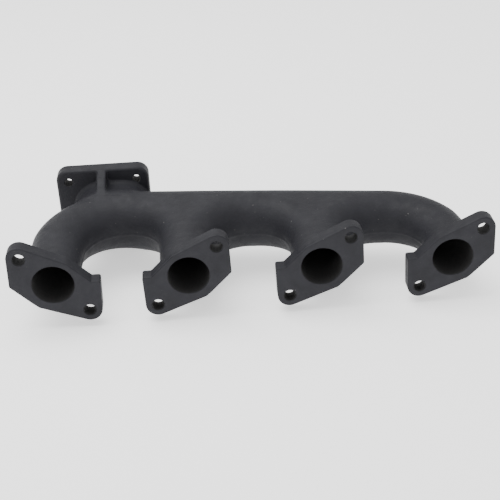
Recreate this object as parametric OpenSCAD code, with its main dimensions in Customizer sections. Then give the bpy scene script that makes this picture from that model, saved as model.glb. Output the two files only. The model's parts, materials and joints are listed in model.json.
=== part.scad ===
/* [Port row] */
// Distance between neighbouring port centres
port_pitch = 96; // [92:0.5:110]
// Diameter of each port, and of the gas passage behind it
port_d = 30; // [26:0.5:32]
// Thickness of each port flange
flange_t = 11; // [8:0.5:14]
// Diameter of the port bolt holes
bolt_hole_d = 9; // [7:0.5:10]
// Radius of the lug around each bolt hole
lug_r = 9; // [8:0.1:9.5]

/* [Pipe] */
// Outer diameter of the log, the elbows and the end runners
pipe_d = 42; // [41:0.5:42.5]
// Outer diameter of the two middle runners
middle_runner_d = 40.5; // [38:0.5:40.5]
// Distance from the port face to the log's axis, at port 1
log_back = 92.5; // [90:0.5:95]
// Angle by which the log closes on the port row, in plan
log_angle = 6.8; // [5:0.1:7.5]
// Angle by which the pipe's centre plane climbs from ports to log
rise = 2.3; // [0:0.1:3]
// Bend radius of the elbow at port 1
elbow_1_r = 48.5; // [46:0.5:50]
// Bend radius of the elbow at port 4
elbow_4_r = 44.5; // [42:0.5:46]
// Plan radius of the fillets where runners 2 and 3 meet the log
crotch_r = 24; // [18:0.5:26]

/* [Outlet] */
// Place of the outlet's axis along the port row
outlet_x = 32; // [31:0.5:34]
// Height of the outlet's axis over the line through the port centres
outlet_z = -1.5; // [-2:0.5:1]
// Distance from the port face to the outlet plate's near side
outlet_back = 111; // [110:0.5:114]
// Side of the square outlet plate
outlet_side = 72.5; // [70:0.5:75]
// Thickness of the outlet plate
outlet_t = 11.5; // [8:0.5:14]
// Radius of the outlet plate's corners
outlet_corner_r = 9; // [6:0.5:9]
// Diameter of the outlet bore
outlet_d = 40; // [36:0.5:42]
// Spacing of the four outlet holes, both ways
outlet_hole_pitch = 53; // [51:0.5:54]
// Diameter of the outlet holes, drilled to be tapped M8
outlet_hole_d = 6.8; // [6:0.1:9]
// Outer diameter of the flaring neck where it meets the outlet plate
neck_d = 50; // [48:0.5:52]
// Outer diameter of the neck's shoulder where it meets the outlet plate
shoulder_d = 47; // [44:0.5:48]
// How far the shoulder's centre lies from the outlet's axis, along the log
shoulder_x = 13; // [10:0.5:14]
// Thickness of the rib between the pipe and the outlet plate
rib_t = 7; // [5:0.5:9]
// How far the rib's top edge stands out from the outlet plate
rib_reach = 10; // [8:0.5:12]

/* [Hidden] */
$fn = 96;

iron = [0.21, 0.21, 0.22];
iron_worn = [0.27, 0.27, 0.28];

pipe_r = pipe_d / 2;
middle_runner_r = middle_runner_d / 2;
port_r = port_d / 2;
reach = 400;          // longer than any part of the casting
over = 2;             // how far a cutting shape runs past the face it cuts
past_turn = 5;        // how far a cutting bend turns past its end, in degrees
web_set = 1.5;        // how far the crotch fillets lie below the pipe's surface

neck_root_d = 38;     // the neck starts thinner than the pipe, inside it
rib_foot = [82, 22];  // where the rib runs out on the pipe, back and up
rib_drop = 0.8;       // fall of the rib's top edge toward the ports

// Bolt holes of ports 2 to 4, from the port's centre; port 1 is their mirror image
upper_hole = [21.1, 22.1];
lower_hole = [-23.5, -23];

// The port flange's edges: flat sides at the lugs, a step up the left side,
// a cut-away lower right corner, and two slanting edges tangent to the lugs
tuck = 0.05;          // the edges end this far inside the lugs' rims
edge_left = lower_hole[0] - lug_r + tuck;
edge_right = upper_hole[0] + lug_r - tuck;
side_lean = 0.8;      // the flat sides spread by this much toward mid height
top_slope = 26.5;
bottom_slope = 21;
step_z = 0.5;
step_end = -26.8;
chamfer = [-10.8, 16.5];
side_end_z = 0.2;
cut_corner = [16, -15];
cut_foot = [12, -18.7];

// Log axis, in the pipe's own centre plane
function log_y(x) = log_back - x * tan(log_angle);
function port_x(i) = (i - 1) * port_pitch;
// Point at a lug's rim where an edge of the given slope touches it
function rim(hole, slope, side) = hole + side * (lug_r - tuck) * [-sin(slope), cos(slope)];
// A bend turns from the runner into the log, toward the right or the left
function turn(to_right) = to_right ? 90 + log_angle : 90 - log_angle;
function bend_leg(radius, to_right) = radius * tan(turn(to_right) / 2);
function bend_foot(x, radius, to_right) = log_y(x) - bend_leg(radius, to_right);

elbow_1_end = elbow_1_r * tan(turn(true) / 2) * cos(log_angle);
elbow_4_start = port_x(4) - elbow_4_r * tan(turn(false) / 2) * cos(log_angle);
log_split = (port_x(2) + port_x(3)) / 2;
outlet_top = outlet_z + outlet_side / 2;

// --- shapes shared by the sub-parts ---

module along_y(x, y0, y1, r, z = 0)
    translate([x, y0, z]) rotate([-90, 0, 0]) cylinder(r = r, h = y1 - y0);

// Straight length of the log between two places on the port row
module log_pipe(x0, x1, r)
    translate([x0, log_y(x0), 0]) rotate([0, 0, -log_angle]) rotate([0, 90, 0])
        cylinder(r = r, h = (x1 - x0) / cos(log_angle));

// Bend from the runner on the line x into the log, and past it by an angle
module bend(x, radius, to_right, r, past = 0)
    translate([to_right ? x + radius : x - radius, bend_foot(x, radius, to_right), 0])
        rotate([0, 0, to_right ? 90 - log_angle - past : 0])
            rotate_extrude(angle = turn(to_right) + past) translate([radius, 0]) circle(r = r);

// Lifts the pipe's centre plane, hinged on the line through the port centres
module lifted() rotate([rise, 0, 0]) children();

// Everything in front of the port flanges' rear faces
module front_of_flanges()
    translate([-reach / 2, flange_t - reach, -reach / 2]) cube([2 * reach, reach, reach]);

// --- port flanges ---

module flange_plate()
    translate([0, flange_t, 0]) rotate([90, 0, 0]) linear_extrude(flange_t)
        polygon([
            [edge_left, lower_hole[1]], [edge_left - side_lean, step_z], [step_end, step_z],
            chamfer, rim(upper_hole, top_slope, 1), [edge_right, upper_hole[1]],
            [edge_right + side_lean, side_end_z], cut_corner, cut_foot,
            rim(lower_hole, bottom_slope, -1)
        ]);

module port_flange(i)
    color(iron_worn)
        translate([port_x(i), 0, 0]) mirror([i == 1 ? 1 : 0, 0, 0])
            difference() {
                union() {
                    flange_plate();
                    for (hole = [upper_hole, lower_hole])
                        along_y(hole[0], 0, flange_t, lug_r, hole[1]);
                }
                along_y(0, -over, flange_t + over, port_r);
                for (hole = [upper_hole, lower_hole])
                    along_y(hole[0], -over, flange_t + over, bolt_hole_d / 2, hole[1]);
            }

module port_flange_1() port_flange(1);
module port_flange_2() port_flange(2);
module port_flange_3() port_flange(3);
module port_flange_4() port_flange(4);

// --- runners and elbows ---

// Straight pipe from a port flange to the foot of its elbow
module end_runner(i, foot)
    color(iron) difference() {
        lifted() difference() {
            along_y(port_x(i), 0, foot, pipe_r);
            along_y(port_x(i), -over, foot + over, port_r);
        }
        front_of_flanges();
    }

module runner_1() end_runner(1, bend_foot(port_x(1), elbow_1_r, true));
module runner_4() end_runner(4, bend_foot(port_x(4), elbow_4_r, false));

// Runner that meets the log head on
module middle_runner(i)
    color(iron) difference() {
        lifted() difference() {
            along_y(port_x(i), 0, log_y(port_x(i)), middle_runner_r);
            log_pipe(port_x(i) - port_pitch, port_x(i) + port_pitch, pipe_r);
            along_y(port_x(i), -over, log_y(port_x(i)), port_r);
        }
        front_of_flanges();
    }

module runner_2() middle_runner(2);
module runner_3() middle_runner(3);

// Fillet swept round one side of the corner between a middle runner and the log
module crotch_web(i, to_right)
    color(iron) lifted() difference() {
        bend(port_x(i), crotch_r + pipe_r, to_right, pipe_r - web_set);
        along_y(port_x(i), 0, log_back + pipe_r, middle_runner_r);
        log_pipe(port_x(i) - port_pitch, port_x(i) + port_pitch, pipe_r);
    }

module crotch_web_2_left() crotch_web(2, false);
module crotch_web_2_right() crotch_web(2, true);
module crotch_web_3_left() crotch_web(3, false);
module crotch_web_3_right() crotch_web(3, true);

module elbow_1()
    color(iron) lifted() difference() {
        bend(port_x(1), elbow_1_r, true, pipe_r);
        bend(port_x(1), elbow_1_r, true, port_r);
        along_y(outlet_x, log_y(outlet_x), outlet_back, port_r, outlet_z);
    }

module elbow_4()
    color(iron) lifted() difference() {
        bend(port_x(4), elbow_4_r, false, pipe_r);
        bend(port_x(4), elbow_4_r, false, port_r);
    }

// --- log ---

module log_section(x0, x1, port)
    color(iron) lifted() difference() {
        log_pipe(x0, x1, pipe_r);
        log_pipe(x0 - over, x1 + over, port_r);
        along_y(port_x(port), 0, log_y(port_x(port)), port_r);
    }

module log_left() log_section(elbow_1_end, log_split, 2);
module log_right() log_section(log_split, elbow_4_start, 3);

// --- outlet ---

// Everything past the plane in which elbow 1 ends and the log begins
module past_elbow()
    lifted() translate([elbow_1_end, log_y(elbow_1_end), 0]) rotate([0, 0, -log_angle])
        translate([0, -reach / 2, -reach / 2]) cube(reach);

// Cone from inside the pipe to the outlet plate
module flare(x, root_r, plate_r)
    translate([x, log_y(x), outlet_z]) rotate([-90, 0, 0])
        cylinder(r1 = root_r, r2 = plate_r, h = outlet_back - log_y(x));

module neck_body() {
    flare(outlet_x, neck_root_d / 2, neck_d / 2);
    flare(outlet_x + shoulder_x, neck_root_d / 2, shoulder_d / 2);
}

// Gas passage of the neck, which opens out to the outlet bore
module neck_passage() {
    along_y(outlet_x, 0, outlet_back + over, port_r, outlet_z);
    translate([outlet_x, outlet_back, outlet_z]) rotate([90, 0, 0])
        cylinder(r1 = outlet_d / 2, r2 = port_r, h = pipe_r / 2);
}

// Round neck, seated on elbow 1
module outlet_neck()
    color(iron) difference() {
        neck_body();
        past_elbow();
        lifted() bend(port_x(1), elbow_1_r, true, pipe_r, past_turn);
        neck_passage();
    }

// The neck's shoulder, seated on the log
module outlet_shoulder()
    color(iron) difference() {
        intersection() {
            neck_body();
            past_elbow();
        }
        lifted() log_pipe(elbow_1_end - over, log_split, pipe_r);
        neck_passage();
    }

// Gusset, flush with the outlet plate's top edge and sloping down to the pipe
module outlet_rib()
    color(iron) difference() {
        translate([outlet_x - rib_t / 2, 0, 0]) rotate([90, 0, 90]) linear_extrude(rib_t)
            polygon([
                [outlet_back, outlet_z], [outlet_back, outlet_top],
                [outlet_back - rib_reach, outlet_top - rib_drop],
                rib_foot, [rib_foot[0], outlet_z]
            ]);
        lifted() bend(port_x(1), elbow_1_r, true, pipe_r);
        neck_body();
    }

module outlet_flange()
    color(iron_worn) translate([outlet_x, outlet_back, outlet_z]) rotate([-90, 0, 0])
        difference() {
            linear_extrude(outlet_t)
                hull() for (sx = [-1, 1], sz = [-1, 1])
                    translate([sx, sz] * (outlet_side / 2 - outlet_corner_r))
                        circle(r = outlet_corner_r);
            translate([0, 0, -over]) cylinder(d = outlet_d, h = outlet_t + 2 * over);
            for (sx = [-1, 1], sz = [-1, 1])
                translate([sx * outlet_hole_pitch / 2, sz * outlet_hole_pitch / 2, -over])
                    cylinder(d = outlet_hole_d, h = outlet_t + 2 * over);
        }

port_flange_1();
port_flange_2();
port_flange_3();
port_flange_4();
runner_1();
runner_2();
runner_3();
runner_4();
elbow_1();
elbow_4();
crotch_web_2_left();
crotch_web_2_right();
crotch_web_3_left();
crotch_web_3_right();
log_left();
log_right();
outlet_neck();
outlet_shoulder();
outlet_rib();
outlet_flange();
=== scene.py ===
import json
import math
import bmesh
import bpy
import numpy as np
import openvdb
from mathutils import Matrix, Vector
from mathutils.geometry import delaunay_2d_cdt


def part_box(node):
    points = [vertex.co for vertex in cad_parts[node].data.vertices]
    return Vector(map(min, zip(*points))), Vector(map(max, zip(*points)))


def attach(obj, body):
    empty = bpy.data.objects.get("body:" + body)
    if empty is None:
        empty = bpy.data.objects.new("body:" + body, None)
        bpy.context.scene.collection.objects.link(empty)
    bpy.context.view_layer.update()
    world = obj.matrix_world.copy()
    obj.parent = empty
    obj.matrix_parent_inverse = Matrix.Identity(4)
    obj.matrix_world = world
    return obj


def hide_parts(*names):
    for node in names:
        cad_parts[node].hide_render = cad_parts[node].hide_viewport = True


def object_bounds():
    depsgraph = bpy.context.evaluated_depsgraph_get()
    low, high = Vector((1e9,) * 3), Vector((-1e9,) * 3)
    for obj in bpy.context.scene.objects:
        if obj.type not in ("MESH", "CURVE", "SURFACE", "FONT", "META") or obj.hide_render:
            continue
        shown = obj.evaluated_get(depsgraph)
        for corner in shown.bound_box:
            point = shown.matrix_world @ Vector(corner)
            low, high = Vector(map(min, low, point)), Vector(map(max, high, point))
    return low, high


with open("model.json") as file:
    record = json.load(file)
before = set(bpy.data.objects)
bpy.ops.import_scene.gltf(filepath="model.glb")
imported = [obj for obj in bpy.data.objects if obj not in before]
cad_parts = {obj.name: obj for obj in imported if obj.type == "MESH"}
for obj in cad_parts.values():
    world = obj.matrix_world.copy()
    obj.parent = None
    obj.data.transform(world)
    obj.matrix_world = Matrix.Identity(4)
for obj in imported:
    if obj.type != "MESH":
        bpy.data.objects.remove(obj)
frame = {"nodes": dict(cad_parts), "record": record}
cadLow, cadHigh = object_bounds()
mounts = {m["name"]: m for m in frame["record"]["mounts"]}
mm = 0.001
print("frame loaded:", len(frame["nodes"]), "nodes")

# Everything below is in millimetres in the frame's own axes, until a mesh is made.


def place(name):
    # where a mount is
    return np.array(mounts[name]["pos_m"]) / mm


ports = [place(f"port_{i}") for i in (1, 2, 3, 4)]
outletAt = place("outlet")
portRadius = mounts["port_1"]["dims"]["r_mm"]
portPlate = mounts["port_1"]["dims"]["length_mm"]
boltRadius = mounts["port_bolts_1"]["dims"]["hole_r_mm"]
outletRadius = mounts["outlet"]["dims"]["r_mm"]
outletPlate = mounts["outlet"]["dims"]["length_mm"]

pipe = {
    "radius": 21.0,  # log, elbows and end runners
    "middleRadius": 20.25,  # runners 2 and 3, at their flanges
    # places along the row, and what is taken off the radius or added below at each
    "slimmer": ((0, 60, 110, 170, 230, 290), (0.7, 0.4, 0.0, 0.0, 0.6, 1.3)),
    "deeper": ((0, 30, 62, 100, 140, 290), (0.0, 2.2, 5.6, 3.6, 2.2, 0.0)),
    "sagStart": 35.0,  # distance from the ports where the sag begins
    "sagOver": 30.0,  # and over what length it reaches its full depth
    "endTaper": 3.0,  # runners 1 and 4 are thinner by this at their flanges
    "taperEnd": 60.0,  # distance from the ports where a runner has the full radius
    "taperOver": 40.0,
    "middleReach": 96.0,  # runners 2 and 3 lie this close to the middle of the row
    "wall": 5.5,  # from the full radius in to the gas passage
    "logBack": 92.5,  # log axis behind the port face, at port 1
    "logAngle": math.radians(6.8),
    "rise": math.radians(2.3),
    "elbow1": 48.5,
    "elbow4": 44.5,
    "crotch": 24.0,
    "partingHeight": 0.32,  # moulding line left at the joint of the two mould halves
    "partingWidth": 0.9,
}
neck = {
    "radius": 24.5,  # at the outlet plate
    "shoulder": 24.0,
    "shoulderShift": 13.0,
    "root": 20.3,  # inside the pipe
    "blend": 7.0,
    "beyond": 1.1,  # the flare ends here, as a share of the way from the log's axis to the plate
    "flare": 10.0,  # length over which the passage opens out
    "reach": 12.0,  # the neck is cut off this far before the plate
    "topCut": 2.6,  # and from the rib this far above its radius
}
rib = {
    "half": 3.4,  # half its thickness
    "reach": 10.0,  # its top goes this far from the plate, and falls by drop on the way
    "drop": 0.8,
    "foot": (82, 22),  # where it lands on the pipe
    "below": 0.9,  # its top lies this far below the plate's
    "into": 4.0,  # it is rooted this deep in the plate
    "round": 1.3,
    "blend": 3.5,
}
plate = {
    "edge": 2.2,
    "backEdge": 0.8,
    "corner": 9.0,
    "holeChamfer": 0.2,
    "blend": 5.0,
    "round": 0.5,
}
skin = {
    "step": 1.0,  # spacing of the grid that the surface is sampled on
    "slide": 0.06,  # furthest that a point moves in one step toward the true surface
    "flangeBlend": 8.0,
    "fadeOver": 8.0,  # the flange fillet fades out over this distance from the plate's edge
    "sink": 0.4,  # the skin's cuts lie this deep inside the plates
    "under": 0.6,
    "inset": 1.0,
    "lip": 1.6,  # the pipe runs out over a port plate's side to this far from its front face
    "nearPlate": (-2, 12),  # depths before and behind a port plate where its outline counts
    "besidePort": 44,
    "trimInset": 0.4,  # how the pipe is shaved where it passes a port plate's outline
    "trimSlope": 0.7,
    "trimRound": 1.5,
    "plateGap": 0.05,  # plates are thinner than in the CAD by this
    "endShort": 5,  # the end plates reach this much further along the row than the pipe
    "margin": 2,
    "marginBelow": 6,
}

# The pipework is one distance function.


def logY(x):
    # distance of the log's axis from the ports: a straight line along the row
    return pipe["logBack"] - x * math.tan(pipe["logAngle"])


def turnOf(toRight):
    # how far a bend turns: a right angle, and the log's angle more or less
    return math.pi / 2 + (pipe["logAngle"] if toRight else -pipe["logAngle"])


def bendFoot(x, radius, toRight):
    # where a bend begins: its radius times the tangent of half its turn, before the log
    return logY(x) - radius * math.tan(turnOf(toRight) / 2)


def lift(p):
    # world point into the pipe's own plane: a turn about the line through the ports
    c, s = math.cos(pipe["rise"]), math.sin(pipe["rise"])
    return p[0], c * p[1] + s * p[2], c * p[2] - s * p[1]


def segment(x, y, ax, ay, bx, by):
    # distance in plan to a straight line's nearest point
    ux, uy = bx - ax, by - ay
    t = np.clip(((x - ax) * ux + (y - ay) * uy) / (ux * ux + uy * uy), 0, 1)
    return np.hypot(x - ax - t * ux, y - ay - t * uy)


def arc(x, y, foot, radius, toRight, filled):
    # distance in plan to a bend's axis; a filled one is zero between the bend and its corner
    side = 1 if toRight else -1
    dx, dy = (x - foot[0] - side * radius) * -side, y - foot[1]
    around = np.arctan2(dy, dx)
    away = np.hypot(dx, dy) - radius
    if filled:
        corner = (side * (x - foot[0]) >= 0) & (y <= logY(x))
        away = np.where((away > 0) & corner, 0.0, away)
    return np.where((around >= 0) & (around <= turnOf(toRight)), np.abs(away), 1e3)


def axisDistance(x, y):
    # distance in plan to the whole branching axis of the pipe
    first, last = ports[0][0], ports[3][0]
    foot1 = bendFoot(first, pipe["elbow1"], True)
    foot4 = bendFoot(last, pipe["elbow4"], False)
    start = first + pipe["elbow1"] * math.tan(turnOf(True) / 2) * math.cos(pipe["logAngle"])
    end = last - pipe["elbow4"] * math.tan(turnOf(False) / 2) * math.cos(pipe["logAngle"])
    d = segment(x, y, start, logY(start), end, logY(end))
    d = np.minimum(d, segment(x, y, first, 0, first, foot1))
    d = np.minimum(d, segment(x, y, last, 0, last, foot4))
    d = np.minimum(d, arc(x, y, (first, foot1), pipe["elbow1"], True, False))
    d = np.minimum(d, arc(x, y, (last, foot4), pipe["elbow4"], False, False))
    sweep = pipe["crotch"] + pipe["radius"]
    for px in (ports[1][0], ports[2][0]):
        d = np.minimum(d, segment(x, y, px, 0, px, logY(px)))
        for toRight in (True, False):
            foot = (px, bendFoot(px, sweep, toRight))
            d = np.minimum(d, arc(x, y, foot, sweep, toRight, True))
    return d


def smoothMin(a, b, k):
    # the lesser of two, rounded where they come within k of each other
    h = np.maximum(k - np.abs(a - b), 0) / np.maximum(k, 1e-6)
    return np.minimum(a, b) - h * h * k / 4


def boxDistance(p, low, high, rounding):
    # signed distance to a box: from its faces inside, from its edges and corners outside
    q = [np.abs(a - (l + h) / 2) - (h - l) / 2 + rounding for a, l, h in zip(p, low, high)]
    outside = np.sqrt(sum(np.maximum(a, 0) ** 2 for a in q))
    return outside + np.minimum(np.maximum.reduce(q), 0) - rounding


def polygonDistance(x, z, corners):
    # signed distance to a closed outline: to the nearest side, and negative where a line
    # to the right crosses the outline an odd number of times
    best = np.full(np.shape(x), 1e9)
    inside = np.ones(np.shape(x))
    for a, b in zip(corners, np.roll(corners, 1, axis=0)):
        ex, ez = b - a
        wx, wz = x - a[0], z - a[1]
        t = np.clip((wx * ex + wz * ez) / (ex * ex + ez * ez), 0, 1)
        best = np.minimum(best, (wx - ex * t) ** 2 + (wz - ez * t) ** 2)
        c1, c2, c3 = z >= a[1], z < b[1], ex * wz > ez * wx
        inside = np.where((c1 & c2 & c3) | (~c1 & ~c2 & ~c3), -inside, inside)
    return inside * np.sqrt(best)


def castingDistance(p, outlines):
    # signed distance to the skin: pipe, neck, rib and fillets joined one after another,
    # each the lesser of two distances, with the gas passage taken out
    x, y, z = p
    lx, ly, lz = lift(p)
    d2 = axisDistance(lx, ly)
    bore = np.hypot(d2, lz)
    sag = np.interp(lx, *pipe["deeper"]) * np.clip((ly - pipe["sagStart"]) / pipe["sagOver"], 0, 1)
    below = np.where(lz < 0, lz * pipe["radius"] / (pipe["radius"] + sag), lz)
    middle = (np.abs(lx - (ports[1][0] + ports[2][0]) / 2) < pipe["middleReach"]).astype(float)
    atPlate = pipe["endTaper"] + middle * (pipe["radius"] - pipe["middleRadius"] - pipe["endTaper"])
    taper = np.clip((pipe["taperEnd"] - ly) / pipe["taperOver"], 0, 1)
    narrow = np.maximum(atPlate * taper, np.interp(lx, *pipe["slimmer"]))
    parting = pipe["partingHeight"] * np.exp(-(z / pipe["partingWidth"]) ** 2)
    d = np.hypot(d2, below) - pipe["radius"] + narrow - parting
    # the pipe runs out over a port plate's side and stops short of its front edge
    near = (y < portPlate + skin["nearPlate"][1]) & (y > skin["nearPlate"][0])
    inPlane = np.full(np.shape(d), -10.0)
    for port, outline in zip(ports, outlines):
        here = near & (np.abs(x - port[0]) < skin["besidePort"])
        inPlane[here] = polygonDistance(x[here] - port[0], z[here], outline)
    trim = inPlane + skin["trimInset"] - np.maximum(y - skin["lip"], 0)
    d = -smoothMin(-d, -trim * skin["trimSlope"], skin["trimRound"])
    # the neck: two circles joined side by side, which widen toward the outlet
    low, high = (np.array(c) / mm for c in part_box("outlet_flange"))
    along = np.clip((ly - logY(lx)) / (low[1] - logY(outletAt[0])), 0, neck["beyond"])
    t = np.clip((x - outletAt[0]) / neck["shoulderShift"], 0, 1)
    middleZ = outletAt[2] * along + logY(outletAt[0]) * math.sin(pipe["rise"]) * (1 - along)
    across = np.hypot(x - outletAt[0] - t * neck["shoulderShift"], z - middleZ)
    wide = neck["radius"] + t * (neck["shoulder"] - neck["radius"])
    stub = across - neck["root"] - (wide - neck["root"]) * along * along
    d = smoothMin(d, np.maximum(stub, logY(lx) - ly), neck["blend"])
    # fillet to the outlet plate, and the rib with its own fillets
    inset = np.array([skin["inset"], 0, skin["inset"]])
    slab = boxDistance(p, low + inset + (0, skin["under"], 0), high - inset, plate["round"])
    d = smoothMin(d, slab, plate["blend"])
    top, into = high[2] - rib["below"], low[1] + rib["into"]
    gusset = np.array([(into, 0), (into, top), (low[1] - rib["reach"], top - rib["drop"]),
                       rib["foot"], (rib["foot"][0], 0)])
    profile = polygonDistance(y, z, gusset) + rib["round"]
    side = np.abs(x - outletAt[0]) - rib["half"] + rib["round"]
    ribD = np.hypot(np.maximum(profile, 0), np.maximum(side, 0))
    ribD = ribD + np.minimum(np.maximum(profile, side), 0)
    d = smoothMin(d, ribD - rib["round"], rib["blend"])
    # fillets to the port plates, none where the pipe is flush with a plate's edge
    plateD = np.maximum(inPlane + skin["inset"], y - portPlate + skin["under"])
    k = skin["flangeBlend"] * np.clip(-inPlane / skin["fadeOver"], 0, 1)
    filled = smoothMin(d, plateD, k)
    rounded = near & (filled < np.minimum(d, plateD) - 1e-6) & (y > portPlate - skin["under"])
    d = np.where(rounded, filled, d)
    return np.maximum(d, -hollowDistance(x, y, z, bore, low[1]))


def hollowDistance(x, y, z, bore, plateAt):
    # signed distance to the gas passage, which opens out toward the outlet
    flare = np.clip((y - plateAt + neck["flare"]) / neck["flare"], 0, 1)
    opening = portRadius + (outletRadius - portRadius) * flare
    outWay = np.maximum(np.hypot(x - outletAt[0], z - outletAt[2]) - opening, logY(x) - y)
    return np.minimum(bore - pipe["radius"] + pipe["wall"], outWay)


# The plates' outlines.


def lineMeet(a, slopeA, b, slopeB):
    # where the line through a at one angle crosses the line through b at another
    ua = np.array([math.cos(slopeA), math.sin(slopeA)])
    ub = np.array([math.cos(slopeB), math.sin(slopeB)])
    w = np.array(b) - np.array(a)
    t = (w[0] * ub[1] - w[1] * ub[0]) / (ua[0] * ub[1] - ua[1] * ub[0])
    return np.array(a) + t * ua


def roundedOutline(corners, radii, step=0.5):
    # a closed polygon whose corners are arcs tangent to both sides
    pts = []
    for here, before, after, r in zip(corners, np.roll(corners, 1, 0), np.roll(corners, -1, 0), radii):
        u, v = before - here, after - here
        u, v = u / np.hypot(*u), v / np.hypot(*v)
        half = math.acos(np.clip(u @ v, -1, 1)) / 2
        centre = here + (u + v) / np.hypot(*(u + v)) * r / math.sin(half)
        a = here + u * r / math.tan(half) - centre
        b = here + v * r / math.tan(half) - centre
        start = math.atan2(a[1], a[0])
        sweep = (math.atan2(b[1], b[0]) - start + math.pi) % (2 * math.pi) - math.pi
        turn = start + sweep * np.linspace(0, 1, max(4, int(abs(sweep) * r / step)))
        pts.append(centre + r * np.stack([np.cos(turn), np.sin(turn)], 1))
    return np.concatenate(pts)


portPlateShape = {
    "lug": 9.0,
    "topSlope": math.radians(26.5),
    "bottomSlope": math.radians(21),
    "lean": 0.8,  # the flat sides spread toward mid height
    "step": (0.5, -26.8),  # height of the step on the left side, and where it ends
    "chamfer": (-10.8, 16.5),
    "sideEnd": 0.2,
    "cut": [(16.0, -15.0), (12.0, -18.7)],
    "edge": 0.9,
    "holeChamfer": 0.4,
}


def portOutline():
    # outline of ports 2 to 4 about the port's centre, lugs included
    shape = portPlateShape
    low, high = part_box("port_flange_2")
    left = low[0] / mm - ports[1][0] + shape["lean"]
    right = high[0] / mm - ports[1][0] - shape["lean"]
    bottom, top = low[2] / mm, high[2] / mm
    upper = np.array([right - shape["lug"], top - shape["lug"]])
    lower = np.array([left + shape["lug"], bottom + shape["lug"]])
    topSlope, bottomSlope = shape["topSlope"], shape["bottomSlope"]
    rimTop = upper + shape["lug"] * np.array([-math.sin(topSlope), math.cos(topSlope)])
    rimLow = lower - shape["lug"] * np.array([-math.sin(bottomSlope), math.cos(bottomSlope)])
    height, stepEnd = shape["step"]
    corners = [
        lineMeet(rimLow, bottomSlope, (left, 0), math.pi / 2),
        (left, lower[1]),
        (left - shape["lean"], height),
        (stepEnd, height),
        shape["chamfer"],
        lineMeet(rimTop, topSlope, (right, 0), math.pi / 2),
        (right, upper[1]),
        (right + shape["lean"], shape["sideEnd"]),
        *shape["cut"],
    ]
    lugArc = shape["lug"] - 0.1  # a little less, which leaves room for the corner after it
    radii = [lugArc, 0.05, 1.5, 1.0, 8.0, lugArc, 0.05, 2.0, 5.0, 5.0]  # one for each corner
    return np.array([np.array(c, float) for c in corners]), radii, upper, lower


outlineCorners, outlineRadii, upperHole, lowerHole = portOutline()
outlines = [outlineCorners * (-1, 1), outlineCorners, outlineCorners, outlineCorners]


def skinMesh(low, high, step):
    # samples the distance on a grid and takes the surface where it is zero, then
    # slides every point along the slope onto that surface
    axes = [np.arange(a, b + step, step) for a, b in zip(low, high)]
    field = np.empty([len(a) for a in axes], np.float32)
    for i in range(0, len(axes[0]), 32):
        grid = np.meshgrid(axes[0][i:i + 32], axes[1], axes[2], indexing="ij")
        field[i:i + 32] = castingDistance(grid, outlines)
    volume = openvdb.FloatGrid(background=3.0)
    volume.copyFromArray(np.clip(field, -3, 3))
    points, quads = volume.convertToQuads(isovalue=0.0)
    points = np.asarray(points, float) * step + [a[0] for a in axes]
    for _ in range(3):
        slope, value = slopeAt(points)
        points = points - slope * np.clip(value, -skin["slide"], skin["slide"])[:, None]
    return points, np.asarray(quads, np.int64)


def slopeAt(points, h=0.05):
    # outward direction of the surface at each point, by central differences
    p = points.T
    value = castingDistance(p, outlines)
    slope = np.empty_like(points)
    for k in range(3):
        shift = np.zeros((3, 1))
        shift[k] = h
        slope[:, k] = castingDistance(p + shift, outlines) - castingDistance(p - shift, outlines)
    length = np.sqrt((slope ** 2).sum(1, keepdims=True))
    steep = np.maximum(length[:, 0] / (2 * h), 0.3)
    return slope / np.maximum(length, 1e-9), value / steep


def finishPiece(name, mesh, nodes, material):
    # a mesh becomes a piece of the casting
    piece = bpy.data.objects.new(name, mesh)
    bpy.context.scene.collection.objects.link(piece)
    mesh.materials.append(material)
    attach(piece, "root")
    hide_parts(*nodes)
    return piece


def fillCut(bm, at, normal):
    # closes a flat cut: the hull of its outline is triangulated, and the triangles that
    # are reached from outside by crossing the outline an odd number of times are kept
    rim = [e for e in bm.edges if e.is_boundary
           and all(abs((np.array(v.co) - at) @ normal) < 1e-3 for v in e.verts)]
    verts = list({v: None for e in rim for v in e.verts})
    if len(verts) < 3:
        return
    number = {v: i for i, v in enumerate(verts)}
    u = np.cross(normal, np.eye(3)[np.argmin(np.abs(normal))])
    u /= np.linalg.norm(u)
    flat = np.array([v.co for v in verts]) @ np.stack([u, np.cross(normal, u)], 1)
    edges = [[number[v] for v in e.verts] for e in rim]
    flat = [Vector(p) for p in flat]
    _, sides, faces, asVert, asRim, _ = delaunay_2d_cdt(flat, edges, [], 0, 1e-7, True)
    flips = {frozenset(side): len(old) % 2 for side, old in zip(sides, asRim)}
    touching = {}
    for i, face in enumerate(faces):
        for pair in zip(face, face[1:] + face[:1]):
            touching.setdefault(frozenset(pair), []).append(i)
    state = {fs[0]: flips[side] for side, fs in touching.items() if len(fs) == 1}
    todo = list(state)
    while todo:
        i = todo.pop()
        for pair in zip(faces[i], faces[i][1:] + faces[i][:1]):
            for j in touching[frozenset(pair)]:
                if j not in state:
                    state[j] = (state[i] + flips[frozenset(pair)]) % 2
                    todo.append(j)
    for i, face in enumerate(faces):
        if state[i] and all(asVert[k] for k in face):
            bm.faces.new([verts[asVert[k][0]] for k in face])


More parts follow.
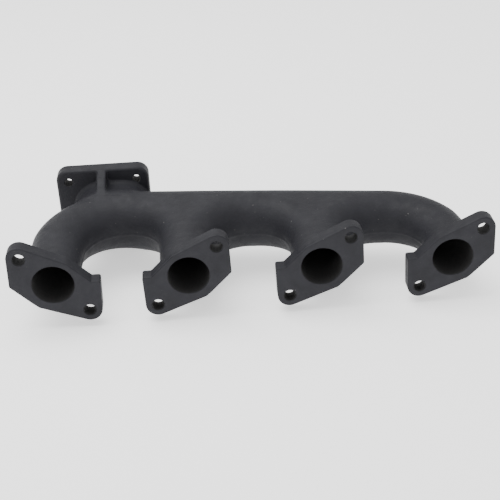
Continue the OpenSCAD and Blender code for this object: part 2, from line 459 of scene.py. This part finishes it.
def cutPiece(name, halfCut, planes):
    # the part of the skin behind every plane, each cut closed by a flat cap; what
    # several pieces cut in the same way is cut once
    key = ()
    for at, normal in planes:
        done = key
        key += tuple(np.round(np.append(at, normal), 4))
        if key not in halfCut:
            bm = halfCut[done].copy()
            everything = bm.verts[:] + bm.edges[:] + bm.faces[:]
            bmesh.ops.bisect_plane(bm, geom=everything, plane_co=at, plane_no=normal,
                                   dist=1e-4, clear_outer=True)
            fillCut(bm, at, normal)
            halfCut[key] = bm
    mesh = bpy.data.meshes.new(name)
    bm = halfCut[key].copy()
    bmesh.ops.recalc_face_normals(bm, faces=bm.faces[:])
    bm.to_mesh(mesh)
    bm.free()
    return mesh


def readPoints(mesh):
    # every point of a mesh, one row each
    co = np.empty(len(mesh.vertices) * 3)
    mesh.vertices.foreach_get("co", co)
    return co.reshape(-1, 3)


def shadeSkin(mesh, planes):
    # curved faces take the surface's own slope as their normals; caps stay flat
    points = readPoints(mesh)
    slope, _ = slopeAt(points)
    n = len(mesh.polygons)
    centre, normal = np.empty(n * 3), np.empty(n * 3)
    total = np.empty(n, int)
    corner = np.empty(len(mesh.loops), int)
    mesh.polygons.foreach_get("center", centre)
    mesh.polygons.foreach_get("normal", normal)
    mesh.polygons.foreach_get("loop_total", total)
    mesh.loops.foreach_get("vertex_index", corner)
    centre, normal = centre.reshape(-1, 3), normal.reshape(-1, 3)
    cap = np.zeros(n, bool)
    for at, facing in planes:
        cap |= (np.abs((centre - at) @ facing) < 1e-3) & (normal @ facing > 0.99)
    face = np.repeat(np.arange(n), total)
    cx, cy, cz = centre.T
    lx, ly, lz = lift(centre.T)
    bore = np.hypot(axisDistance(lx, ly), lz)
    inside = hollowDistance(cx, cy, cz, bore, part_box("outlet_flange")[0][1] / mm)
    # faces on the gas passage take the near-black inside material: soot, and painted shade in the passage
    mesh.polygons.foreach_set("material_index", (~cap & (np.abs(inside) < 0.2)).astype(np.int32))
    mesh.polygons.foreach_set("use_smooth", np.ones(n, bool))
    mesh.normals_split_custom_set(np.where(cap[face][:, None], normal[face], slope[corner]))
    mesh.transform(Matrix.Scale(mm, 4))
    mesh.update()


def closedRing(count):
    # the number of each point in a ring, and of the next one round
    i = np.arange(count)
    j = (i + 1) % count
    return i, j


def wall(loop, inset, depth):
    # a closed loop carried through the plate: row k is the loop drawn in by inset[k]
    # along its own normals, at depth[k]
    ahead, behind = np.roll(loop, -1, 0), np.roll(loop, 1, 0)
    along = ahead - behind
    inward = np.stack([along[:, 1], -along[:, 0]], 1) / np.hypot(*along.T)[:, None]
    area = (loop[:, 0] * ahead[:, 1] - loop[:, 1] * ahead[:, 0]).sum()
    inward *= -math.copysign(1, area)
    rows = loop[None] + inward[None] * np.array(inset)[:, None, None]
    depth = np.broadcast_to(np.array(depth)[:, None], rows.shape[:2])
    return np.stack([rows[..., 0], depth, rows[..., 1]], -1)


def roundEdge(radius, steps=5):
    # inset and depth along a quarter circle, from a face out to the side
    a = np.linspace(0, math.pi / 2, steps)
    return radius * (1 - np.sin(a)), radius * (1 - np.cos(a))


def circle(centre, radius, count):
    # points at even angles round a centre
    a = np.linspace(0, 2 * math.pi, count, endpoint=False)
    return np.array(centre) + radius * np.stack([np.cos(a), np.sin(a)], 1)


def plateMesh(name, outline, holes, thickness, frontEdge, backEdge, chamfer):
    # a slab bounded by its outline, with round holes: each wall is a loop carried
    # through the slab, and both faces are filled between the walls' first or last rows
    inset1, depth1 = roundEdge(frontEdge)
    inset2, depth2 = roundEdge(backEdge)
    insets = np.concatenate([inset1, inset2[::-1]])
    depths = np.concatenate([depth1, thickness - depth2[::-1]])
    walls = [wall(outline, insets, depths)]
    for centre, radius in holes:
        count = max(32, int(radius * 8))
        loop = circle(centre, radius, count)
        walls.append(wall(loop, [-chamfer, 0, 0, 0], [0, chamfer, thickness / 2, thickness]))
    mesh = bpy.data.meshes.new(name)
    points, faces, first = [], [], 0
    for w in walls:
        rows, count = w.shape[:2]
        i, j = closedRing(count)
        ring = first + np.arange(rows - 1)[:, None] * count
        quad = np.stack([ring + i, ring + j, ring + j + count, ring + i + count], -1)
        faces.append(quad.reshape(-1, 4))
        points.append(w.reshape(-1, 3))
        first += rows * count
    mesh.from_pydata(np.concatenate(points), [], np.concatenate(faces).tolist())
    bm = bmesh.new()
    bm.from_mesh(mesh)
    rim = [e for e in bm.edges if e.is_boundary]
    for front in (True, False):
        edges = [e for e in rim if (e.verts[0].co.y < thickness / 2) == front]
        bmesh.ops.triangle_fill(bm, edges=edges, use_beauty=True)
    bmesh.ops.recalc_face_normals(bm, faces=bm.faces[:])
    bm.to_mesh(mesh)
    bm.free()
    return mesh


def finishPlate(piece, axes):
    # the walls of the holes around the given axes take the near-black inside material, painted shade in
    # the recess
    mesh = piece.data
    mesh.materials.append(innerSootShade)
    n = len(mesh.polygons)
    centre, normal = np.empty(n * 3), np.empty(n * 3)
    mesh.polygons.foreach_get("center", centre)
    mesh.polygons.foreach_get("normal", normal)
    centre, normal = centre.reshape(-1, 3) / mm, normal.reshape(-1, 3)
    inWall = np.zeros(n, bool)
    for (ax, az), radius in axes:
        dx, dz = centre[:, 0] - ax, centre[:, 2] - az
        inWall |= (np.hypot(dx, dz) < radius + 0.5) & (np.abs(normal[:, 1]) < 0.3)
    # material 1 is painted shade on the hole walls
    mesh.polygons.foreach_set("material_index", inWall.astype(np.int32))
    mesh.polygons.foreach_set("use_smooth", np.ones(n, bool))
    mesh.set_sharp_from_angle(angle=math.radians(35))
    weighted = piece.modifiers.new("evenFaces", "WEIGHTED_NORMAL")
    weighted.keep_sharp = True


paint = {
    "dark": (0.0125, 0.0125, 0.0158, 1),
    "light": (0.0170, 0.0171, 0.0210, 1),
    "chip": (0.12, 0.115, 0.11, 1),
    "roughness": (0.52, 0.66),
    "gloss": 0.22,
    "grain": 0.00022,  # height of the cast skin's grain, in metres
    "finer": 0.6,  # how much of that height the plates have
    # each pattern's scale and detail, and the two levels that it is stretched between
    "blotches": (45, 4, 0.35, 0.65),
    "chips": (520, 2, 0.745, 0.77),
    "sheen": (160, 3, 0.3, 0.7),
    "fineGrain": (1400, 3),
    "pits": (420, 2),
}
# near-black colours of the inside: soot on the gas passage, and painted shade darkening the bores and bolt
# holes
sootShadeColours = (0.010, 0.010, 0.011, 1), (0.024, 0.023, 0.022, 1)


def addNode(tree, kind, inputs=None, **settings):
    # a shader node with its settings, and its inputs linked or given a value
    node = tree.nodes.new(kind)
    for key, value in settings.items():
        setattr(node, key, value)
    for key, value in (inputs or {}).items():
        if isinstance(value, bpy.types.NodeSocket):
            tree.links.new(value, node.inputs[key])
        else:
            node.inputs[key].default_value = value
    return node


def mixColour(tree, factor, a, b):
    # colour a where the factor is 0 and b where it is 1
    node = tree.nodes.new("ShaderNodeMix")
    node.data_type = "RGBA"
    for socket, value in zip((node.inputs[0], node.inputs[6], node.inputs[7]), (factor, a, b)):
        if isinstance(value, bpy.types.NodeSocket):
            tree.links.new(value, socket)
        else:
            socket.default_value = value
    return node.outputs[2]


def castPaint(name, grain):
    # satin black over sand-cast iron: blotchy tone, fine grain, pits and a few chips
    material = bpy.data.materials.new(name)
    material.use_nodes = True
    tree = material.node_tree
    shader = tree.nodes["Principled BSDF"]
    where = addNode(tree, "ShaderNodeTexCoord").outputs["Object"]

    def noise(scale, detail):
        inputs = {"Vector": where, "Scale": scale, "Detail": detail}
        return addNode(tree, "ShaderNodeTexNoise", inputs).outputs["Fac"]

    def stretched(pattern, toLow=0.0, toHigh=1.0):
        scale, detail, low, high = paint[pattern]
        inputs = {"Value": noise(scale, detail), "From Min": low, "From Max": high,
                  "To Min": toLow, "To Max": toHigh}
        return addNode(tree, "ShaderNodeMapRange", inputs).outputs["Result"]

    blotch = stretched("blotches")
    fine = noise(*paint["fineGrain"])
    speckle = stretched("chips")
    tone = mixColour(tree, blotch, paint["dark"], paint["light"])
    tree.links.new(mixColour(tree, speckle, tone, paint["chip"]), shader.inputs["Base Color"])
    tree.links.new(stretched("sheen", *paint["roughness"]), shader.inputs["Roughness"])
    both = {0: fine, 1: noise(*paint["pits"])}
    height = addNode(tree, "ShaderNodeMath", both, operation="ADD").outputs[0]
    bump = addNode(tree, "ShaderNodeBump", {"Height": height, "Strength": 0.8, "Distance": grain})
    tree.links.new(bump.outputs["Normal"], shader.inputs["Normal"])
    shader.inputs["Specular IOR Level"].default_value = paint["gloss"]
    return material


def sootShadeInside(name):
    # the unpainted gas passage and the plates' holes, rough and almost black: soot in the passage, and
    # painted shade in these recesses
    material = bpy.data.materials.new(name)
    material.use_nodes = True
    tree = material.node_tree
    shader = tree.nodes["Principled BSDF"]
    where = addNode(tree, "ShaderNodeTexCoord").outputs["Object"]
    inputs = {"Vector": where, "Scale": 600.0, "Detail": 3.0}
    grain = addNode(tree, "ShaderNodeTexNoise", inputs).outputs["Fac"]
    tree.links.new(mixColour(tree, grain, *sootShadeColours), shader.inputs["Base Color"])
    bump = addNode(tree, "ShaderNodeBump", {"Height": grain, "Strength": 0.7, "Distance": 0.0003})
    tree.links.new(bump.outputs["Normal"], shader.inputs["Normal"])
    shader.inputs["Roughness"].default_value = 0.8
    return material


pipePaint = castPaint("castPaint", paint["grain"])
platePaint = castPaint("platePaint", paint["grain"] * paint["finer"])
innerSootShade = sootShadeInside("sootShadeInside")

# Port plates: port 1's is the mirror image of the others.

outline = roundedOutline(outlineCorners, outlineRadii)
for i, port in enumerate(ports):
    hand = (-1 if i == 0 else 1, 1)
    holes = [((0, 0), portRadius), (upperHole * hand, boltRadius), (lowerHole * hand, boltRadius)]
    name, edge = f"portPlate{i + 1}", portPlateShape["edge"]
    mesh = plateMesh(name, outline * hand, holes, portPlate - skin["plateGap"], edge, edge,
                     portPlateShape["holeChamfer"])
    mesh.transform(Matrix.Translation(port))
    mesh.transform(Matrix.Scale(mm, 4))
    piece = finishPiece(name, mesh, [f"port_flange_{i + 1}"], platePaint)
    finishPlate(piece, [(np.array(c) + (port[0], port[2]), r) for c, r in holes])
print("port plates done")

# Outlet plate: a square with four holes.

low, high = (np.array(c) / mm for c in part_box("outlet_flange"))
half = (high[0] - low[0]) / 2
square = np.array([(-half, -half), (-half, half), (half, half), (half, -half)])
outline = roundedOutline(square, [plate["corner"]] * 4)
spacing = mounts["outlet_bolts"]["dims"]["spacing_x_mm"] / 2
holeRadius = mounts["outlet_bolts"]["dims"]["hole_r_mm"]
holes = [((0, 0), outletRadius)]
holes += [((sx * spacing, sz * spacing), holeRadius) for sx in (-1, 1) for sz in (-1, 1)]
mesh = plateMesh("outletPlate", outline, holes, outletPlate - skin["plateGap"], plate["edge"],
                 plate["backEdge"], plate["holeChamfer"])
mesh.transform(Matrix.Translation((outletAt[0], low[1] + skin["plateGap"], outletAt[2])))
mesh.transform(Matrix.Scale(mm, 4))
piece = finishPiece("outletPlate", mesh, ["outlet_flange"], platePaint)
finishPlate(piece, [(np.array(c) + (outletAt[0], outletAt[2]), r) for c, r in holes])
print("outlet plate done")

# The pipework: one skin, cut into pieces by flat planes. The elbows, the log and the end
# runners are cut near the CAD's boundaries; the webs, middle runners, neck and rib are not.


def planPlane(x, y, nx, ny):
    # a plane that stands on the pipe's own plane, as a point and a normal in the frame
    turn = np.array(Matrix.Rotation(pipe["rise"], 3, "X"))
    normal = turn @ np.array([nx, ny, 0.0])
    return turn @ np.array([x, y, 0.0]), normal / np.linalg.norm(normal)


def flatPlane(axis, value, side):
    # a plane square to one axis of the frame, and which side of it is cut off
    at, normal = np.zeros(3), np.zeros(3)
    at[axis], normal[axis] = value, side
    return at, normal


alongLog = np.array([math.cos(pipe["logAngle"]), -math.sin(pipe["logAngle"])])
ahead = np.array([-math.sin(pipe["logAngle"]), -math.cos(pipe["logAngle"])])  # toward the ports
clear = pipe["radius"] + 0.5
cut = {
    "middleAt": 60,  # distance from the ports where a middle runner's two planes are set
    "middleSlope": 0.11,
    "webRear": 2,  # the webs start this far behind a port plate
    "endAt": 30,  # an end runner is cut this far from its port, toward the middle of the row
}


def across(x, side):
    # a plane square to the log's axis
    return planPlane(x, logY(x), *(side * alongLog))


def beside(offset, side):
    # a plane along the log, offset from its axis toward the ports
    return planPlane(offset * ahead[0], logY(0) + offset * ahead[1], *(side * ahead))


elbowEnd = ports[0][0] + pipe["elbow1"] * math.tan(turnOf(True) / 2) * math.cos(pipe["logAngle"])
elbowStart = ports[3][0] - pipe["elbow4"] * math.tan(turnOf(False) / 2) * math.cos(pipe["logAngle"])
split = (ports[1][0] + ports[2][0]) / 2
foot1 = bendFoot(ports[0][0], pipe["elbow1"], True)
foot4 = bendFoot(ports[3][0], pipe["elbow4"], False)
rear = flatPlane(1, skin["lip"] - skin["sink"], -1)
farSide = flatPlane(1, low[1] + skin["sink"], 1)
neckFoot = flatPlane(1, outletAt[1] - outletPlate - neck["reach"], 1)
neckTop = flatPlane(2, neck["radius"] + neck["topCut"], 1)


def flip(plane):
    # the same plane with the other side cut off
    return plane[0], -plane[1]


def between(i, side):
    # planes either side of a middle runner, further apart at its plate than at the log
    return planPlane(ports[i][0] + side * clear, cut["middleAt"], side, cut["middleSlope"])


front = beside(clear, -1)
webRear = flatPlane(1, portPlate + cut["webRear"], -1)
leftHalf, rightHalf = across(split, 1), across(split, -1)
afterElbow, beforeElbow = across(elbowEnd, -1), across(elbowStart, 1)
runner1Side = flatPlane(0, cut["endAt"], 1)
runner4Side = flatPlane(0, ports[3][0] - cut["endAt"], -1)
body = {  # the node that a piece stands for, and the planes that it lies behind
    "runner1": (["runner_1"], [leftHalf, planPlane(0, foot1, 0, 1), runner1Side, rear]),
    "elbow1": (["elbow_1"], [leftHalf, flip(planPlane(0, foot1, 0, 1)), flip(afterElbow), neckFoot]),
    "logLeft": (["log_left"], [leftHalf, afterElbow, beside(clear, 1), beside(-clear, -1)]),
    "outletShoulder": (["outlet_shoulder"], [leftHalf, afterElbow, flip(beside(-clear, -1)), farSide]),
    "crotchWeb2Left": (["crotch_web_2_left"],
                       [leftHalf, front, flip(between(1, -1)), afterElbow, webRear]),
    "crotchWeb2Right": (["crotch_web_2_right"], [leftHalf, front, flip(between(1, 1)), webRear]),
    "runner2": (["runner_2"], [leftHalf, front, between(1, 1), between(1, -1), rear]),
    "outletNeck": (["outlet_neck"], [leftHalf, flip(neckFoot), flip(afterElbow), farSide, neckTop]),
    "outletRib": (["outlet_rib"], [leftHalf, flip(neckFoot), flip(afterElbow), farSide, flip(neckTop)]),
    "logRight": (["log_right"], [rightHalf, beforeElbow, beside(clear, 1)]),
    "crotchWeb3Left": (["crotch_web_3_left"], [rightHalf, front, flip(between(2, -1)), webRear]),
    "crotchWeb3Right": (["crotch_web_3_right"],
                        [rightHalf, front, flip(between(2, 1)), beforeElbow, webRear]),
    "runner3": (["runner_3"], [rightHalf, front, between(2, 1), between(2, -1), rear]),
    "elbow4": (["elbow_4"], [rightHalf, flip(beforeElbow), planPlane(0, foot4, 0, -1)]),
    "runner4": (["runner_4"], [rightHalf, planPlane(0, foot4, 0, 1), runner4Side, rear]),
}

skinLow = (cadLow[0] / mm + skin["endShort"], skin["lip"] - skin["margin"],
           -neck["radius"] - skin["marginBelow"])
skinHigh = (cadHigh[0] / mm - skin["endShort"], low[1] + skin["margin"], high[2] + skin["margin"])
points, quads = skinMesh(skinLow, skinHigh, skin["step"])
print("casting skin:", len(points), "points")
mesh = bpy.data.meshes.new("skin")
mesh.from_pydata(points, [], quads.tolist())
halfCut = {(): bmesh.new()}
halfCut[()].from_mesh(mesh)
for name, (nodes, planes) in body.items():
    mesh = cutPiece(name, halfCut, planes)
    print(name, len(mesh.polygons), "faces")
    shadeSkin(mesh, planes)
    finishPiece(name, mesh, nodes, pipePaint)
    # the second material, for the passage's faces: soot and painted shade
    mesh.materials.append(innerSootShade)

# Floor, light and camera.

studio = {
    "sky": 1.15,
    "key": 14.0,
    "floor": (0.93, 0.93, 0.93, 1),
    "floorGlow": 0.8,
    "reach": 6.0,  # half the floor's width, in metres as are the places below
    "keySize": 0.9,
    "keyFrom": (-0.35, 0.1, 1.1),
    "lens": 73.96,
    "camera": (0.10994, -0.62642, 0.38748),
    "turn": (59.68, 1.447, -5.293),
    "shift": (-0.0505, -0.0093),
}


def areaLight(name, size, energy, at, aim):
    # a rectangular lamp, turned so that it faces the point aimed at
    light = bpy.data.lights.new(name, "AREA")
    light.shape = "RECTANGLE"
    light.size, light.size_y = size
    light.energy = energy
    lamp = bpy.data.objects.new(name, light)
    lamp.location = at
    direction = np.array(aim, float) - np.array(at, float)
    lamp.rotation_euler = (math.atan2(math.hypot(direction[0], direction[1]), -direction[2]), 0,
                           math.atan2(-direction[0], direction[1]))
    bpy.context.scene.collection.objects.link(lamp)


floorMesh = bpy.data.meshes.new("floor")
reach, floorZ = studio["reach"], cadLow[2]
floorMesh.from_pydata([(-reach, -reach, floorZ), (reach, -reach, floorZ), (reach, reach, floorZ),
                       (-reach, reach, floorZ)], [], [(0, 1, 2, 3)])
floor = bpy.data.objects.new("floor", floorMesh)
bpy.context.scene.collection.objects.link(floor)
pale = bpy.data.materials.new("paleFloor")
pale.use_nodes = True
paleShader = pale.node_tree.nodes["Principled BSDF"]
paleShader.inputs["Base Color"].default_value = studio["floor"]
paleShader.inputs["Roughness"].default_value = 0.9
paleShader.inputs["Emission Color"].default_value = (1, 1, 1, 1)
paleShader.inputs["Emission Strength"].default_value = studio["floorGlow"]
floorMesh.materials.append(pale)

world = bpy.data.worlds.new("studio")
world.use_nodes = True
sky = world.node_tree.nodes["Background"]
sky.inputs["Color"].default_value = (1, 1, 1, 1)
sky.inputs["Strength"].default_value = studio["sky"]
bpy.context.scene.world = world
centre = (np.array(cadLow) + np.array(cadHigh)) / 2
areaLight("key", (studio["keySize"], studio["keySize"]), studio["key"], centre + studio["keyFrom"], centre)

camera = bpy.data.objects.new("camera", bpy.data.cameras.new("camera"))
camera.data.lens = studio["lens"]
camera.data.shift_x, camera.data.shift_y = studio["shift"]
camera.location = studio["camera"]
camera.rotation_euler = [math.radians(a) for a in studio["turn"]]
bpy.context.scene.collection.objects.link(camera)
bpy.context.scene.camera = camera
print("stage done")
